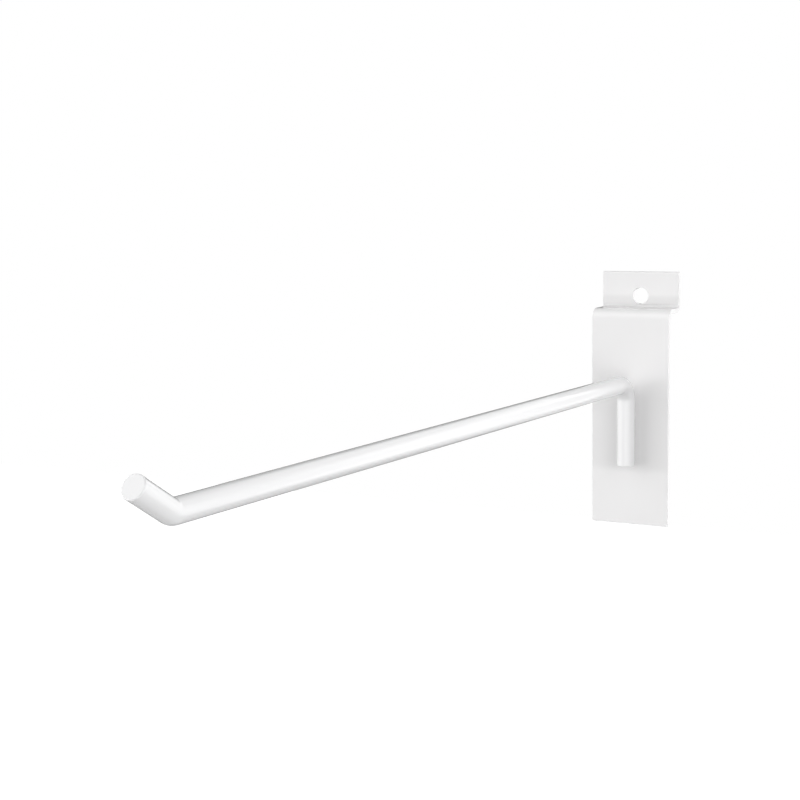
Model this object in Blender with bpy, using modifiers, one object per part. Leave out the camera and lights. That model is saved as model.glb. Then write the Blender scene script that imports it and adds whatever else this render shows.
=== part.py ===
"""Slatwall hook in white powder-coated steel.

A strip of sheet is folded into the back plate: the plate lies on the face of a slatted panel, a
short shelf at its top runs back into the panel's groove, and a tab rises behind the slat above it.
A round bar carries the goods. Its arm stands square to the plate with an upturned tip, and its
other end turns down into a leg that is welded along the plate's front.

X runs across the plate, +Y goes back into the panel and +Z is up. The origin lies on the plate's
back face, level with the arm's axis.
"""

import math

import bmesh
import bpy
from mathutils import Matrix, Vector

# Back plate, in metres.
SHEET = 0.0015
PLATE_WIDTH = 0.0275
PLATE_BELOW_ARM = 0.0486
SHELF_ABOVE_ARM = 0.0248
LIP_GAP = 0.0080
TAB_RISE = 0.0121
TOP_FOLD_INSIDE = 0.0021
TAB_FOLD_INSIDE = 0.0010
HOLE_DIAMETER = 0.0055
HOLE_BELOW_TAB_TOP = 0.0082
SHEET_EDGE_BREAK = 0.0002

# Bent bar, in metres. The reach runs from the plate's front to the corner of arm and tip.
BAR_DIAMETER = 0.0060
ARM_REACH = 0.2525
TIP_LENGTH = 0.0142
TIP_ANGLE = math.radians(31)
TIP_BEND_INSIDE = 0.0008
LEG_LENGTH = 0.0280
LEG_BEND_INSIDE = 0.0030
BAR_EDGE_BREAK = 0.0003
WELD_GAP = 0.0003

# Facets. The arc step is the most that one facet of a bend turns.
ARC_STEP = math.radians(7.5)
BAR_BEVEL_RESOLUTION = 20
HOLE_SIDES = 48
EDGE_SEGMENTS = 2
EDGE_LIMIT = math.radians(40)
CAP_MERGE = 0.00001

# Sizes that follow from those above.
BAR_RADIUS = BAR_DIAMETER / 2
PLATE_FRONT = -SHEET
LEG_AXIS = PLATE_FRONT - WELD_GAP - BAR_RADIUS
TIP_CORNER = PLATE_FRONT - ARM_REACH
TAB_FRONT = LIP_GAP
TAB_TOP = SHELF_ABOVE_ARM + TAB_RISE
HOLE_HEIGHT = TAB_TOP - HOLE_BELOW_TAB_TOP
PUNCH_LENGTH = SHEET * 4

# A profile is drawn in its own XY plane, which stands up in the object's YZ plane.
PROFILE_TURN = (math.pi / 2, 0.0, math.pi / 2)

# White powder coat.
WHITE = (0.83, 0.83, 0.82, 1.0)
PLATE_ROUGHNESS = 0.45
BAR_ROUGHNESS = 0.2


def clear_scene():
    for obj in list(bpy.data.objects):
        bpy.data.objects.remove(obj, do_unlink=True)


def new_collection(name):
    collection = bpy.data.collections.new(name)
    bpy.context.scene.collection.children.link(collection)
    return collection


def painted_steel(name, roughness):
    """White powder coat, which hides the metal under it."""
    material = bpy.data.materials.new(name)
    material.use_nodes = True
    material.diffuse_color = WHITE
    shader = material.node_tree.nodes["Principled BSDF"]
    shader.inputs["Base Color"].default_value = WHITE
    shader.inputs["Metallic"].default_value = 0.0
    shader.inputs["Roughness"].default_value = roughness
    return material


def rounded_path(corners, radii):
    """The points of a path through the corners, with each inner corner turned by an arc."""
    points = [corners[0]]
    for before, corner, after, radius in zip(corners, corners[1:], corners[2:], radii):
        along = (corner - before).normalized()
        leaving = (after - corner).normalized()
        turn = along.angle(leaving)
        start = corner - along * radius * math.tan(turn / 2)
        inward = (leaving - along * leaving.dot(along)).normalized()
        steps = math.ceil(turn / ARC_STEP)
        for step in range(steps + 1):
            angle = turn * step / steps
            points.append(start + along * radius * math.sin(angle) + inward * radius * (1 - math.cos(angle)))
    points.append(corners[-1])
    return points


def profile_curve(name, points):
    """A 2D curve through the points, standing in the object's YZ plane."""
    curve = bpy.data.curves.new(name, "CURVE")
    curve.dimensions = "2D"
    curve.fill_mode = "NONE"
    spline = curve.splines.new("POLY")
    spline.points.add(len(points) - 1)
    for target, point in zip(spline.points, points):
        target.co = (point.x, point.y, 0.0, 1.0)
    obj = bpy.data.objects.new(name, curve)
    obj.rotation_euler = PROFILE_TURN
    return obj


def curve_to_mesh(curve_obj, collection):
    """Replaces a curve object by a mesh object of the same name, shape and place."""
    collection.objects.link(curve_obj)
    bpy.context.view_layer.update()
    evaluated = curve_obj.evaluated_get(bpy.context.evaluated_depsgraph_get())
    mesh = bpy.data.meshes.new_from_object(evaluated)
    placed = curve_obj.matrix_world.copy()
    name = curve_obj.name
    bpy.data.objects.remove(curve_obj, do_unlink=True)
    welded = bmesh.new()
    welded.from_mesh(mesh)
    bmesh.ops.remove_doubles(welded, verts=welded.verts, dist=CAP_MERGE)
    welded.to_mesh(mesh)
    welded.free()
    obj = bpy.data.objects.new(name, mesh)
    obj.matrix_world = placed
    collection.objects.link(obj)
    return obj


def break_edges(obj, width):
    bevel = obj.modifiers.new("broken_edges", "BEVEL")
    bevel.width = width
    bevel.segments = EDGE_SEGMENTS
    bevel.limit_method = "ANGLE"
    bevel.angle_limit = EDGE_LIMIT


def shade(obj, material):
    """Smooth shading that keeps the flat faces flat beside their folds and broken edges."""
    obj.data.materials.append(material)
    obj.data.shade_smooth()
    obj.data.set_sharp_from_angle(angle=EDGE_LIMIT)
    flats = obj.modifiers.new("flat_faces", "WEIGHTED_NORMAL")
    flats.keep_sharp = True


def hole_cutter(collection):
    """A round punch through the tab, along Y."""
    mesh = bpy.data.meshes.new("tab_hole")
    punch = bmesh.new()
    bmesh.ops.create_cone(
        punch,
        cap_ends=True,
        segments=HOLE_SIDES,
        radius1=HOLE_DIAMETER / 2,
        radius2=HOLE_DIAMETER / 2,
        depth=PUNCH_LENGTH,
        matrix=Matrix.Rotation(math.pi / 2, 4, "X"),
    )
    punch.to_mesh(mesh)
    punch.free()
    cutter = bpy.data.objects.new("tab_hole", mesh)
    cutter.location = (0.0, TAB_FRONT + SHEET / 2, HOLE_HEIGHT)
    cutter.hide_render = True
    cutter.display_type = "WIRE"
    collection.objects.link(cutter)
    return cutter


def back_plate(collection, cutters):
    """One strip of sheet with two folds: plate, shelf and tab, drawn along the sheet's middle."""
    plate_line = -SHEET / 2
    shelf_line = SHELF_ABOVE_ARM - SHEET / 2
    tab_line = TAB_FRONT + SHEET / 2
    corners = [
        Vector((plate_line, -PLATE_BELOW_ARM)),
        Vector((plate_line, shelf_line)),
        Vector((tab_line, shelf_line)),
        Vector((tab_line, TAB_TOP)),
    ]
    radii = [TOP_FOLD_INSIDE + SHEET / 2, TAB_FOLD_INSIDE + SHEET / 2]
    strip = profile_curve("back_plate", rounded_path(corners, radii))
    strip.data.extrude = PLATE_WIDTH / 2
    plate = curve_to_mesh(strip, collection)
    thickness = plate.modifiers.new("sheet", "SOLIDIFY")
    thickness.thickness = SHEET
    thickness.offset = 0.0
    thickness.use_even_offset = True
    hole = plate.modifiers.new("tab_hole", "BOOLEAN")
    hole.operation = "DIFFERENCE"
    hole.solver = "EXACT"
    hole.object = hole_cutter(cutters)
    break_edges(plate, SHEET_EDGE_BREAK)
    shade(plate, painted_steel("plate_paint", PLATE_ROUGHNESS))
    return plate


def hook_rod(collection):
    """One round bar: leg, arm and upturned tip, drawn along its axis."""
    tip_direction = Vector((-math.cos(TIP_ANGLE), math.sin(TIP_ANGLE)))
    tip_corner = Vector((TIP_CORNER, 0.0))
    corners = [
        Vector((LEG_AXIS, -LEG_LENGTH)),
        Vector((LEG_AXIS, 0.0)),
        tip_corner,
        tip_corner + tip_direction * TIP_LENGTH,
    ]
    radii = [LEG_BEND_INSIDE + BAR_RADIUS, TIP_BEND_INSIDE + BAR_RADIUS]
    axis = profile_curve("hook_rod", rounded_path(corners, radii))
    axis.data.dimensions = "3D"
    axis.data.fill_mode = "FULL"
    axis.data.bevel_depth = BAR_RADIUS
    axis.data.bevel_resolution = BAR_BEVEL_RESOLUTION
    axis.data.use_fill_caps = True
    bar = curve_to_mesh(axis, collection)
    break_edges(bar, BAR_EDGE_BREAK)
    shade(bar, painted_steel("bar_paint", BAR_ROUGHNESS))
    return bar


def main():
    clear_scene()
    hook = new_collection("slatwall_hook")
    cutters = new_collection("slatwall_hook_cutters")
    root = bpy.data.objects.new("slatwall_hook", None)
    hook.objects.link(root)
    for piece in (back_plate(hook, cutters), hook_rod(hook)):
        piece.parent = root


main()
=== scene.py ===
"""The looks of a straight slatwall hook: white powder coat on a bent steel bar and a folded steel plate."""

import math

import bmesh
import bpy
from mathutils import Euler, Matrix, Vector


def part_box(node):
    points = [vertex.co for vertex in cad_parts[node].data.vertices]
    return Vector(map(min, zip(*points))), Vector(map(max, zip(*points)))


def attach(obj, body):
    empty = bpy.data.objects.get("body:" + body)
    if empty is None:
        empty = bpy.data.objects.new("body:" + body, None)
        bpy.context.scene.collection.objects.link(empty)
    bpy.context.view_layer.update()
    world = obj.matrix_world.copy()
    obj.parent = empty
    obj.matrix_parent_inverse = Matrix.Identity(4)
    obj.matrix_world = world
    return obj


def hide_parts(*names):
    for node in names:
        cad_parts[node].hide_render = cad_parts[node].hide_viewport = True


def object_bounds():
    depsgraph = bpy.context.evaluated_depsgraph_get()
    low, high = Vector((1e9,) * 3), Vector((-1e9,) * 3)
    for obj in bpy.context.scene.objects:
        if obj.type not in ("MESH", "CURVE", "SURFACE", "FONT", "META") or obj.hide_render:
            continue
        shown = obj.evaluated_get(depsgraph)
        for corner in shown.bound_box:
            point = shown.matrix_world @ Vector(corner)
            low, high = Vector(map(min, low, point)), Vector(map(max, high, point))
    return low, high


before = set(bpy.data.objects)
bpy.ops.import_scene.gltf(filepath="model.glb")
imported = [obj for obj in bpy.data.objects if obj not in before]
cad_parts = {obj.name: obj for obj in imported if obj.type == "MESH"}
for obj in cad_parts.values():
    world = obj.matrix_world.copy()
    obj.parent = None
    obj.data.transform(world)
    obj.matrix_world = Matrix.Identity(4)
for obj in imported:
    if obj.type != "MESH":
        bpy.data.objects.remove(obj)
cad_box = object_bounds()


# Camera. A long lens stands to the right of the arm and a little above it, so that the plate is seen 30
# degrees off square and the arm runs away from the eye. The small roll keeps the plate's sides upright.
CAMERA_PLACE = (0.212734, -0.527909, 0.066157)
CAMERA_TURN = (82.808, 0.852, 29.765)
CAMERA_LENS = 75.4
CAMERA_SENSOR = 36.0
CAMERA_NEAR = 0.01

camera_data = bpy.data.cameras.new("camera")
camera_data.lens = CAMERA_LENS
camera_data.sensor_width = CAMERA_SENSOR
camera_data.clip_start = CAMERA_NEAR
camera = bpy.data.objects.new("camera", camera_data)
camera.location = CAMERA_PLACE
camera.rotation_euler = Euler([math.radians(angle) for angle in CAMERA_TURN])
bpy.context.scene.collection.objects.link(camera)
bpy.context.scene.camera = camera


# Hook bar. One length of round steel bar, cut flat at both ends, turned down by a right angle where
# it meets the plate and up by a sharp kink at its free end. Its powder coat flows out to a gloss.
BAR_BACK_BEND = 0.0060
BAR_TIP_BEND = 0.0038
BAR_TIP_ANGLE = math.radians(31)
BAR_TIP_LENGTH = 0.0142
BAR_SIDES = 72
BAR_BEND_STEPS = 32
BAR_RIM = 0.0003
BAR_RIM_ANGLE = math.radians(60)
RIM_SEGMENTS = 4
SHARP_ANGLE = math.radians(60)

bar_low, bar_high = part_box("hook_rod")
bar_radius = bar_high.x
leg_axis = bar_high.y - bar_radius
tip_reach = math.cos(BAR_TIP_ANGLE) * BAR_TIP_LENGTH + math.sin(BAR_TIP_ANGLE) * bar_radius
tip_corner = bar_low.y + tip_reach


class Value:
    """A node socket that arithmetic works on: each operator adds a Math node."""

    def __init__(self, nodes, socket):
        self.nodes = nodes
        self.socket = socket

    def math(self, operation, *terms):
        return self.nodes.add("ShaderNodeMath", {"operation": operation}, dict(enumerate(terms)))

    def __add__(self, other):
        return self.math("ADD", self, other)

    def __sub__(self, other):
        return self.math("SUBTRACT", self, other)

    def __rsub__(self, other):
        return self.math("SUBTRACT", other, self)

    def __mul__(self, other):
        return self.math("MULTIPLY", self, other)

    __radd__ = __add__
    __rmul__ = __mul__


class Nodes:
    """A node tree. add() makes any node from its type, its settings and its sockets."""

    def __init__(self, tree):
        self.tree = tree
        tree.nodes.clear()

    def add(self, kind, settings=None, sockets=None, output=0):
        node = self.tree.nodes.new(kind)
        for name, setting in (settings or {}).items():
            setattr(node, name, setting)
        for name, term in (sockets or {}).items():
            if isinstance(term, Value):
                self.tree.links.new(term.socket, node.inputs[name])
            else:
                node.inputs[name].default_value = term
        return Value(self, node.outputs[output]) if len(node.outputs) else None


def rule(name, sizes):
    """A Geometry Nodes tree with one named input for each size, and those inputs as values."""
    tree = bpy.data.node_groups.new(name, "GeometryNodeTree")
    tree.interface.new_socket("Geometry", in_out="OUTPUT", socket_type="NodeSocketGeometry")
    kinds = {int: "NodeSocketInt", float: "NodeSocketFloat"}
    for size, number in sizes.items():
        tree.interface.new_socket(size, in_out="INPUT", socket_type=kinds[type(number)])
    tree.interface.new_socket("material", in_out="INPUT", socket_type="NodeSocketMaterial")
    nodes = Nodes(tree)
    given = tree.nodes.new("NodeGroupInput")
    inputs = {socket.name: Value(nodes, socket) for socket in given.outputs if socket.name}
    return nodes, inputs


def bent_path(nodes, corners, first_bend, second_bend, steps):
    """A path through four corners in the YZ plane, with an arc at each of its two inner ones."""
    points = {}
    for number, (y, z) in enumerate(corners, 1):
        points[f"Point {number}"] = nodes.add("ShaderNodeCombineXYZ", sockets={"Y": y, "Z": z})
    loop = nodes.add("GeometryNodeCurvePrimitiveQuadrilateral", {"mode": "POINTS"}, points)
    path = nodes.add("GeometryNodeSetSplineCyclic", sockets={"Geometry": loop, "Cyclic": False})
    corner = nodes.add("GeometryNodeInputIndex") - 1
    radius = first_bend + corner * (second_bend - first_bend)
    arcs = nodes.add(
        "GeometryNodeFilletCurve", {"mode": "POLY"}, {"Curve": path, "Count": steps, "Radius": radius}
    )
    return nodes.add(
        "GeometryNodeSetCurveNormal", {"mode": "FREE"}, {"Curve": arcs, "Normal": (1.0, 0.0, 0.0)}
    )


def made_by_rule(name, nodes, inputs, shape, sizes, material):
    """Ends a rule's tree, runs it with its sizes and leaves its shape as a plain mesh object."""
    real = nodes.add("GeometryNodeRealizeInstances", sockets={"Geometry": shape})
    coated = nodes.add(
        "GeometryNodeSetMaterial", sockets={"Geometry": real, "Material": inputs["material"]}
    )
    nodes.add("NodeGroupOutput", sockets={"Geometry": coated})
    piece = bpy.data.objects.new(name, bpy.data.meshes.new(name))
    bpy.context.scene.collection.objects.link(piece)
    grown = piece.modifiers.new("rule", "NODES")
    grown.node_group = nodes.tree
    for socket in nodes.tree.interface.items_tree:
        if socket.in_out == "INPUT":
            grown[socket.identifier] = material if socket.name == "material" else sizes[socket.name]
    bpy.context.view_layer.update()
    evaluated = piece.evaluated_get(bpy.context.evaluated_depsgraph_get())
    piece.data = bpy.data.meshes.new_from_object(evaluated)
    piece.modifiers.remove(grown)
    return piece


def rounded_rims(piece, width, limit):
    """The coat's round edges, with smooth shading that keeps the flat faces flat."""
    piece.data.shade_smooth()
    piece.data.set_sharp_from_angle(angle=SHARP_ANGLE)
    rims = piece.modifiers.new("rims", "BEVEL")
    rims.width = width
    rims.segments = RIM_SEGMENTS
    rims.limit_method = "ANGLE"
    rims.angle_limit = limit
    flats = piece.modifiers.new("flats", "WEIGHTED_NORMAL")
    flats.keep_sharp = True


def ramp(nodes, value, start, end):
    """0 up to start and 1 past end, with a smooth change between them; start may be the larger."""
    rises = start < end
    span = {
        "Value": value,
        "From Min": min(start, end),
        "From Max": max(start, end),
        "To Min": 0.0 if rises else 1.0,
        "To Max": 1.0 if rises else 0.0,
    }
    return nodes.add("ShaderNodeMapRange", {"interpolation_type": "SMOOTHSTEP"}, span)


def coordinate(nodes, place, axis):
    return nodes.add("ShaderNodeSeparateXYZ", sockets={"Vector": place}, output=axis)


def mixed(nodes, share, first, second):
    """The first colour at share 0 and the second at share 1, by a Mix node's colour sockets."""
    factor, colour_a, colour_b, colour_out = 0, 6, 7, 2
    sockets = {factor: share, colour_a: first, colour_b: second}
    return nodes.add("ShaderNodeMix", {"data_type": "RGBA"}, sockets, colour_out)


def dimmed(colour, share):
    return tuple(channel * share for channel in colour[:3]) + (1.0,)


def noise(nodes, place, scale, detail, roughness):
    sockets = {"Vector": place, "Scale": scale, "Detail": detail, "Roughness": roughness}
    return nodes.add("ShaderNodeTexNoise", sockets=sockets)


# Each noise by its scale, detail and roughness, then what share of the colour is left where it is darkest,
# and how far each noise moves the gloss.
CLOUD_NOISE = (45.0, 3.0, 0.5)
GRAIN_NOISE = (620.0, 2.0, 0.45)
DRIFT_SHADE = 0.975
# The share of the colour left where the painted shade of inside corners is darkest.
PAINTED_SHADE_SHARE = 0.9
CLOUD_GLOSS = 0.06
GRAIN_GLOSS = 0.04
POWDER_IOR = 1.5


def powder_coat(name, colour, roughness, peel, painted_shade_mask):
    """White polyester powder, melted on: a faint orange peel, a slow drift of gloss and of shade.

    The last argument gives, from 0 to 1, where painted shade darkens the colour, in corners where shade
    falls.
    """
    material = bpy.data.materials.new(name)
    material.use_nodes = True
    nodes = Nodes(material.node_tree)
    place = nodes.add("ShaderNodeTexCoord", output="Object")
    cloud = noise(nodes, place, *CLOUD_NOISE)
    grain = noise(nodes, place, *GRAIN_NOISE)
    drift = mixed(nodes, cloud, dimmed(colour, DRIFT_SHADE), colour)
    # Painted shade: the colour is darkened towards its shaded share where the mask says shade falls.
    shade = mixed(nodes, painted_shade_mask(nodes, place), drift, dimmed(colour, PAINTED_SHADE_SHARE))
    gloss = roughness + (cloud - 0.5) * CLOUD_GLOSS + (grain - 0.5) * GRAIN_GLOSS
    bump = nodes.add("ShaderNodeBump", sockets={"Strength": 1.0, "Distance": peel, "Height": grain})
    coat = nodes.add(
        "ShaderNodeBsdfPrincipled",
        sockets={"Base Color": shade, "Roughness": gloss, "Normal": bump, "IOR": POWDER_IOR},
    )
    nodes.add("ShaderNodeOutputMaterial", sockets={"Surface": coat})
    return material


# Where shade is painted into the bar's coat: round the leg, from in front of its axis, and at the bend,
# from the leg's straight run upwards and from the arm inwards.
LEG_SIDE_FROM = 0.0024
LEG_SIDE_TO = 0.0004
BEND_UP_FROM = -0.0058
BEND_UP_TO = -0.0044
BEND_IN_FROM = -0.0160
BEND_IN_TO = -0.0080


def bar_painted_shade(nodes, place):
    """Painted shade on the back of the leg, and in the bend so close to the plate."""
    depth = coordinate(nodes, place, "Y")
    height = coordinate(nodes, place, "Z")
    behind_leg = ramp(nodes, depth, leg_axis - LEG_SIDE_FROM, leg_axis - LEG_SIDE_TO)
    up_to_bend = ramp(nodes, height, BEND_UP_FROM, BEND_UP_TO)
    at_bend = up_to_bend * ramp(nodes, depth, BEND_IN_FROM, BEND_IN_TO)
    return behind_leg + at_bend - behind_leg * at_bend


BAR_WHITE = (0.87, 0.87, 0.875, 1.0)
BAR_GLOSS = 0.08
BAR_PEEL = 0.0000025

# The bar's coat carries painted shade behind the leg and inside the bend.
bar_coat = powder_coat("bar_coat", BAR_WHITE, BAR_GLOSS, BAR_PEEL, bar_painted_shade)
bar_sizes = {
    "bar radius": bar_radius,
    "leg axis": leg_axis,
    "leg foot": bar_low.z,
    "tip corner": tip_corner,
    "tip end": tip_corner - math.cos(BAR_TIP_ANGLE) * BAR_TIP_LENGTH,
    "tip height": math.sin(BAR_TIP_ANGLE) * BAR_TIP_LENGTH,
    "back bend": BAR_BACK_BEND,
    "tip bend": BAR_TIP_BEND,
    "bend steps": BAR_BEND_STEPS,
    "sides": BAR_SIDES,
}
bar_rule, bar_inputs = rule("bent_bar", bar_sizes)
bar_path = bent_path(
    bar_rule,
    [
        (bar_inputs["leg axis"], bar_inputs["leg foot"]),
        (bar_inputs["leg axis"], 0.0),
        (bar_inputs["tip corner"], 0.0),
        (bar_inputs["tip end"], bar_inputs["tip height"]),
    ],
    bar_inputs["back bend"],
    bar_inputs["tip bend"],
    bar_inputs["bend steps"],
)
bar_section = bar_rule.add(
    "GeometryNodeCurvePrimitiveCircle",
    sockets={"Resolution": bar_inputs["sides"], "Radius": bar_inputs["bar radius"]},
)
bar_shape = bar_rule.add(
    "GeometryNodeCurveToMesh", sockets={"Curve": bar_path, "Profile Curve": bar_section, "Fill Caps": True}
)
bar = made_by_rule("bent_bar", bar_rule, bar_inputs, bar_shape, bar_sizes, bar_coat)
rounded_rims(bar, BAR_RIM, BAR_RIM_ANGLE)
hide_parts("hook_rod")
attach(bar, "root")


# Back plate. A strip of steel sheet with a punched hole, folded back over the groove's lower lip and
# up again behind its upper one. The same white coat lies on it, baked to a softer gloss.
SHEET = 0.0015
SHELF_HEIGHT = 0.0248
TOP_BEND = 0.00285
TAB_BEND = 0.00175
PLATE_BEND_STEPS = 24
HOLE_RADIUS = 0.00275
HOLE_BELOW_TAB_TOP = 0.0082
HOLE_SIDES = 96
PUNCH_SHEETS = 3.0
SHEET_RIM = 0.0002
SHEET_RIM_ANGLE = math.radians(40)
PLATE_WHITE = (0.88, 0.875, 0.877, 1.0)
PLATE_GLOSS = 0.13
PLATE_PEEL = 0.000003

plate_low, plate_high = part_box("back_plate")

# Shade is painted into the coat in towards the leg, from below its foot and from above its bend, on the
# front only.
BESIDE_LEG_FROM = 0.0260
BESIDE_LEG_TO = 0.0050
FRONT_FROM = -0.0004
FRONT_TO = -0.0011
FOOT_FROM = 0.0035
BEND_DOWN_FROM = 0.0040
BEND_DOWN_TO = -0.0060
BESIDE_LEG_SHARE = 0.9
TAB_CORNER_OFFSET = 0.0020
TAB_CORNER_FROM = 0.0034
TAB_CORNER_TO = 0.0021


def plate_painted_shade(nodes, place):
    """Painted shade in inside corners: the foot of the tab, and the plate's front beside the leg."""
    from_leg = nodes.add("ShaderNodeMath", {"operation": "ABSOLUTE"}, {0: coordinate(nodes, place, "X")})
    on_front = ramp(nodes, coordinate(nodes, place, "Y"), FRONT_FROM, FRONT_TO)
    beside_leg = ramp(nodes, from_leg, BESIDE_LEG_FROM, BESIDE_LEG_TO) * on_front
    height = coordinate(nodes, place, "Z")
    above_foot = ramp(nodes, height, bar_low.z - FOOT_FROM, bar_low.z)
    along_leg = above_foot * ramp(nodes, height, BEND_DOWN_FROM, BEND_DOWN_TO)
    in_profile = nodes.add(
        "ShaderNodeVectorMath", {"operation": "MULTIPLY"}, {0: place, 1: (0.0, 1.0, 1.0)}, "Vector"
    )
    corner_depth = plate_high.y - SHEET - TAB_CORNER_OFFSET
    corner = (0.0, corner_depth, SHELF_HEIGHT + TAB_CORNER_OFFSET)
    from_corner = nodes.add(
        "ShaderNodeVectorMath", {"operation": "DISTANCE"}, {0: in_profile, 1: corner}, "Value"
    )
    tab_foot = ramp(nodes, from_corner, TAB_CORNER_FROM, TAB_CORNER_TO)
    return beside_leg * along_leg * BESIDE_LEG_SHARE + tab_foot


# The plate's coat carries painted shade beside the leg and at the tab's foot.
plate_coat = powder_coat("plate_coat", PLATE_WHITE, PLATE_GLOSS, PLATE_PEEL, plate_painted_shade)
plate_sizes = {
    "width": plate_high.x - plate_low.x,
    "sheet": SHEET,
    "foot": plate_low.z,
    "plate middle": plate_low.y + SHEET / 2,
    "shelf middle": SHELF_HEIGHT - SHEET / 2,
    "tab middle": plate_high.y - SHEET / 2,
    "tab top": plate_high.z,
    "top bend": TOP_BEND,
    "tab bend": TAB_BEND,
    "bend steps": PLATE_BEND_STEPS,
    "hole radius": HOLE_RADIUS,
    "hole height": plate_high.z - HOLE_BELOW_TAB_TOP,
    "hole sides": HOLE_SIDES,
}
plate_rule, plate_inputs = rule("folded_plate", plate_sizes)
plate_path = bent_path(
    plate_rule,
    [
        (plate_inputs["plate middle"], plate_inputs["foot"]),
        (plate_inputs["plate middle"], plate_inputs["shelf middle"]),
        (plate_inputs["tab middle"], plate_inputs["shelf middle"]),
        (plate_inputs["tab middle"], plate_inputs["tab top"]),
    ],
    plate_inputs["top bend"],
    plate_inputs["tab bend"],
    plate_inputs["bend steps"],
)
plate_section = plate_rule.add(
    "GeometryNodeCurvePrimitiveQuadrilateral",
    sockets={"Width": plate_inputs["width"], "Height": plate_inputs["sheet"]},
)
strip = plate_rule.add(
    "GeometryNodeCurveToMesh",
    sockets={"Curve": plate_path, "Profile Curve": plate_section, "Fill Caps": True},
)
punch = plate_rule.add(
    "GeometryNodeMeshCylinder",
    sockets={
        "Vertices": plate_inputs["hole sides"],
        "Radius": plate_inputs["hole radius"],
        "Depth": plate_inputs["sheet"] * PUNCH_SHEETS,
    },
)
punch_place = plate_rule.add(
    "ShaderNodeCombineXYZ", sockets={"Y": plate_inputs["tab middle"], "Z": plate_inputs["hole height"]}
)
set_punch = plate_rule.add(
    "GeometryNodeTransform",
    sockets={"Geometry": punch, "Translation": punch_place, "Rotation": Euler((math.pi / 2, 0.0, 0.0))},
)
plate_shape = plate_rule.add(
    "GeometryNodeMeshBoolean",
    {"operation": "DIFFERENCE", "solver": "EXACT"},
    {"Mesh 1": strip, "Mesh 2": set_punch},
)
plate = made_by_rule("folded_plate", plate_rule, plate_inputs, plate_shape, plate_sizes, plate_coat)
rounded_rims(plate, SHEET_RIM, SHEET_RIM_ANGLE)
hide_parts("back_plate")
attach(plate, "root")


# Weld. The leg was pressed on the plate and resistance-welded along its back, and the powder closed
# the corner on each side of it. What shows is a low ridge with hollow flanks under the leg.
WELD_ABOVE_FOOT = 0.0006
WELD_HIGH = -0.0048
WELD_END = 0.0016
WELD_END_FULLNESS = 0.25
WELD_FOOT_HALF = 0.0015
WELD_NECK_HALF = 0.0009
WELD_HOLLOW = 2.2
WELD_BITE = 0.0003
WELD_FOOT_SUNK = 0.00005
WELD_FLANK_STEPS = 8
WELD_RINGS = 60

weld_low = bar_low.z + WELD_ABOVE_FOOT
weld_foot = plate_low.y + WELD_FOOT_SUNK
weld_neck = bar_high.y - WELD_BITE
weld_section = []
for step in range(WELD_FLANK_STEPS + 1):
    share = step / WELD_FLANK_STEPS
    half_width = WELD_NECK_HALF + (WELD_FOOT_HALF - WELD_NECK_HALF) * (1.0 - share) ** WELD_HOLLOW
    weld_section.append((half_width, weld_foot + (weld_neck - weld_foot) * share))
weld_section += [(-across, along) for across, along in reversed(weld_section)]
weld_points = []
for ring in range(WELD_RINGS + 1):
    height = weld_low + (WELD_HIGH - weld_low) * ring / WELD_RINGS
    to_end = max(0.0, min(height - weld_low, WELD_HIGH - height, WELD_END) / WELD_END)
    roundness = math.sqrt(1.0 - (1.0 - to_end) ** 2)
    fullness = WELD_END_FULLNESS + (1.0 - WELD_END_FULLNESS) * roundness
    weld_points += [(across * fullness, along, height) for across, along in weld_section]
weld_side = len(weld_section)
weld_top = range(len(weld_points) - weld_side, len(weld_points))
weld_faces = [tuple(range(weld_side)), tuple(reversed(weld_top))]
for ring in range(WELD_RINGS):
    for corner in range(weld_side):
        here = ring * weld_side + corner
        beside = ring * weld_side + (corner + 1) % weld_side
        weld_faces.append((here, here + weld_side, beside + weld_side, beside))
weld_mesh = bpy.data.meshes.new("weld_ridge")
weld_mesh.from_pydata(weld_points, [], weld_faces)
weld_shell = bmesh.new()
weld_shell.from_mesh(weld_mesh)
bmesh.ops.recalc_face_normals(weld_shell, faces=weld_shell.faces)
weld_shell.to_mesh(weld_mesh)
weld_shell.free()
weld_mesh.shade_smooth()
weld_mesh.set_sharp_from_angle(angle=SHARP_ANGLE)
weld_mesh.materials.append(plate_coat)
weld = bpy.data.objects.new("weld_ridge", weld_mesh)
bpy.context.scene.collection.objects.link(weld)
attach(weld, "root")


# Floor and surround. The hook floats well above a plain white floor, in front of nothing but white. The
# surround lights it dimly, apart from one dark patch that stands behind it as a studio's black flag does
# and draws the thin dark outlines of the bar.
FLOOR_DROP = 1.3
FLOOR_SIZE = 12.0
FLOOR_WHITE = (0.7, 0.7, 0.7, 1.0)
SURROUND_LEVEL = 0.25
FLAG_AZIMUTH = 210
FLAG_ELEVATION = 0
FLAG_CORE = math.radians(20)
FLAG_EDGE = math.radians(40)
GLOW_NEAR = 0.88
GLOW_FROM = 1.6
GLOW_TO = 4.0

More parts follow.
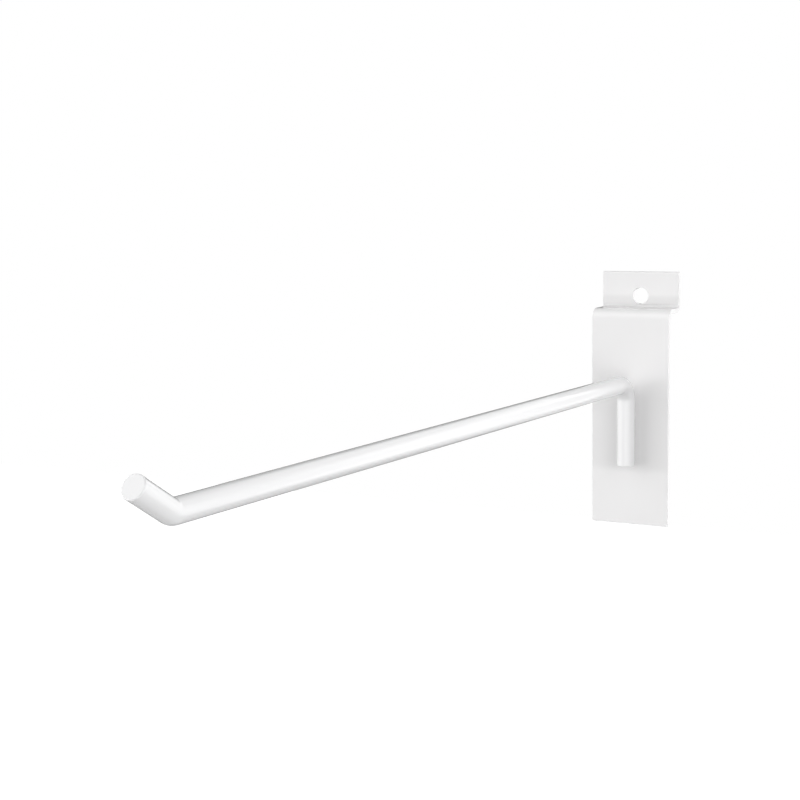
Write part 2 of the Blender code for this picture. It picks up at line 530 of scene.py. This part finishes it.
floor_mesh = bpy.data.meshes.new("floor")
half = FLOOR_SIZE / 2
floor_corners = [(-half, -half, 0.0), (half, -half, 0.0), (half, half, 0.0), (-half, half, 0.0)]
floor_mesh.from_pydata(floor_corners, [], [(0, 1, 2, 3)])
floor_mesh.transform(Matrix.Translation((0.0, 0.0, plate_low.z - FLOOR_DROP)))
floor = bpy.data.objects.new("floor", floor_mesh)
bpy.context.scene.collection.objects.link(floor)
floor_white = bpy.data.materials.new("floor_white")
floor_white.use_nodes = True
floor_nodes = Nodes(floor_white.node_tree)
floor_matt = floor_nodes.add("ShaderNodeBsdfDiffuse", sockets={"Color": FLOOR_WHITE})
floor_place = floor_nodes.add("ShaderNodeTexCoord", output="Object")
distance = floor_nodes.add("ShaderNodeVectorMath", {"operation": "LENGTH"}, {0: floor_place}, "Value")
far = floor_nodes.add(
    "ShaderNodeMapRange",
    {"interpolation_type": "SMOOTHSTEP"},
    {"Value": distance, "From Min": GLOW_FROM, "From Max": GLOW_TO, "To Min": GLOW_NEAR, "To Max": 1.0},
)
seen_by_eye = floor_nodes.add("ShaderNodeLightPath")
floor_glow = floor_nodes.add("ShaderNodeEmission", sockets={"Strength": seen_by_eye * far})
floor_sum = floor_nodes.add("ShaderNodeAddShader", sockets={0: floor_matt, 1: floor_glow})
floor_nodes.add("ShaderNodeOutputMaterial", sockets={"Surface": floor_sum})
floor_mesh.materials.append(floor_white)


def outward(azimuth, elevation):
    """The way from the hook, given in degrees round from the front and above the horizon."""
    turn = math.radians(azimuth)
    rise = math.radians(elevation)
    return Vector((math.sin(turn) * math.cos(rise), -math.cos(turn) * math.cos(rise), math.sin(rise)))


world = bpy.data.worlds.new("studio")
bpy.context.scene.world = world
world.use_nodes = True
world_nodes = Nodes(world.node_tree)
to_eye = world_nodes.add("ShaderNodeLightPath")
heading = world_nodes.add("ShaderNodeTexCoord", output="Generated")
nearness = world_nodes.add(
    "ShaderNodeVectorMath",
    {"operation": "DOT_PRODUCT"},
    {0: heading, 1: outward(FLAG_AZIMUTH, FLAG_ELEVATION)},
    "Value",
)
flag = ramp(world_nodes, nearness, math.cos(FLAG_EDGE), math.cos(FLAG_CORE))
level = (1.0 - flag) * SURROUND_LEVEL
surround = world_nodes.add(
    "ShaderNodeBackground",
    sockets={"Color": (1.0, 1.0, 1.0, 1.0), "Strength": level + to_eye * (1.0 - level)},
)
world_nodes.add("ShaderNodeOutputWorld", sockets={"Surface": surround})


# Lamps. Nine soft boxes stand round the hook, the brightest on its left. Each is given by where it stands,
# in degrees round from the front and above the horizon, by how wide and how high it looks from the hook,
# in degrees, and by its power in watts. The gain gives back the light that the cloth's fade takes.
LAMP_DISTANCE = 1.5
FADE_GAIN = 1.25 ** 2
LAMPS = {
    "left_box": (298, 4, 72, 60, 15.9),
    "high_left_box": (300, 46, 70, 40, 5.8),
    "front_box": (19, -5, 34, 30, 4.5),
    "right_box": (56, 6, 40, 60, 9.0),
    "high_right_box": (85, 46, 80, 40, 6.6),
    "back_right_box": (133, -3, 48, 58, 6.9),
    "back_box": (167, 1, 46, 52, 4.1),
    "high_back_box": (173, 26, 52, 34, 3.4),
    "low_back_box": (165, -20, 44, 24, 1.2),
}


def soft_box(name, width, height, power):
    """An area lamp whose cloth is bright in the middle and fades out to its edges."""
    box = bpy.data.lights.new(name, "AREA")
    box.shape = "RECTANGLE"
    box.size = width
    box.size_y = height
    box.energy = power
    box.use_nodes = True
    nodes = Nodes(box.node_tree)
    place = nodes.add("ShaderNodeNewGeometry", output="Parametric")
    across = coordinate(nodes, place, "X") * 2.0 - 1.0
    along = coordinate(nodes, place, "Y") * 2.0 - 1.0
    fade_across = 1.0 - across * across * across * across
    fade_along = 1.0 - along * along * along * along
    cloth = nodes.add("ShaderNodeEmission", sockets={"Strength": fade_across * fade_along * FADE_GAIN})
    nodes.add("ShaderNodeOutputLight", sockets={"Surface": cloth})
    return box


aim = (cad_box[0] + cad_box[1]) / 2
for name, (azimuth, elevation, wide, high, power) in LAMPS.items():
    width = 2 * LAMP_DISTANCE * math.tan(math.radians(wide / 2))
    height = 2 * LAMP_DISTANCE * math.tan(math.radians(high / 2))
    lamp = bpy.data.objects.new(name, soft_box(name, width, height, power))
    way = outward(azimuth, elevation)
    lamp.location = aim + way * LAMP_DISTANCE
    lamp.rotation_euler = way.to_track_quat("Z", "Y").to_euler()
    lamp.visible_camera = False
    bpy.context.scene.collection.objects.link(lamp)

bpy.context.scene.view_settings.view_transform = "Standard"
